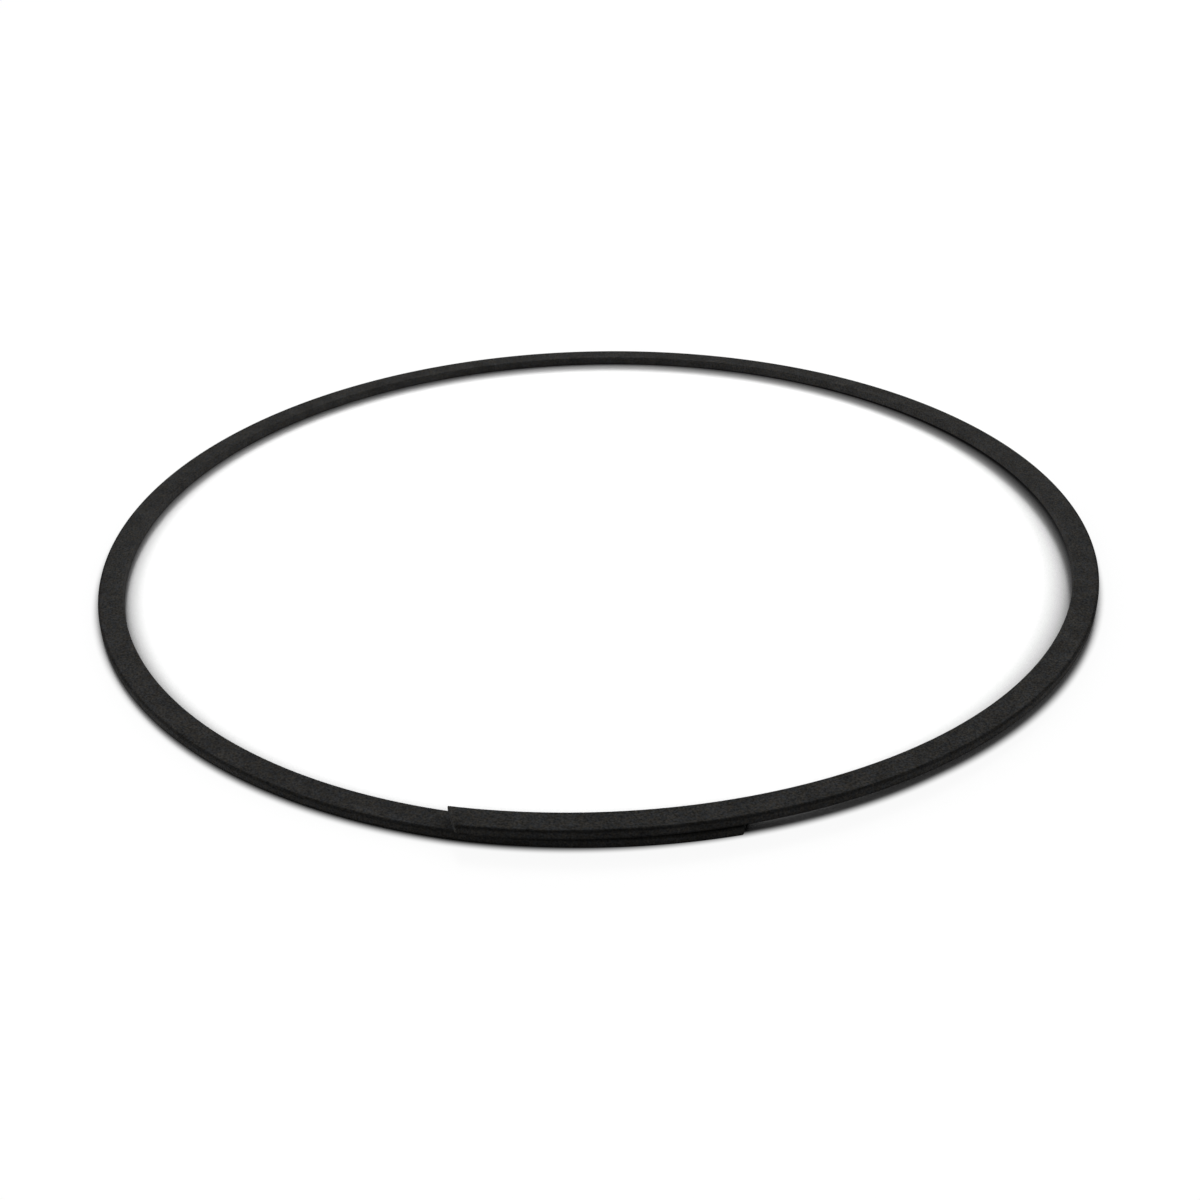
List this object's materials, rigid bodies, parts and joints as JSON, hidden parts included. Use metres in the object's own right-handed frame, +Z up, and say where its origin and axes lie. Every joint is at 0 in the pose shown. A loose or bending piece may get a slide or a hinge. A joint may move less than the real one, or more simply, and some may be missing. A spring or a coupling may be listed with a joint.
{
  "type": "snap ring",
  "caption": "Flat-wire snap ring that springs into a groove round a shaft, with cut ends that lap one above the other when it is free.",
  "frame": {"origin": "centre of the flat half's circle on its underside, in the plane that the ring rests on", "axes": "+Z up along the axis of the coil as the ring lies on a bench; +Y to the back of the ring, across from the lapped ends; +X to the side where the wire climbs"},
  "size_m": [0.165, 0.1655, 0.0033],
  "materials": {
    "spring_steel": "black oxide, oiled, satin"
  },
  "bodies": {
    "root": {"snap_ring": "spring_steel"}
  },
  "joints": []
}
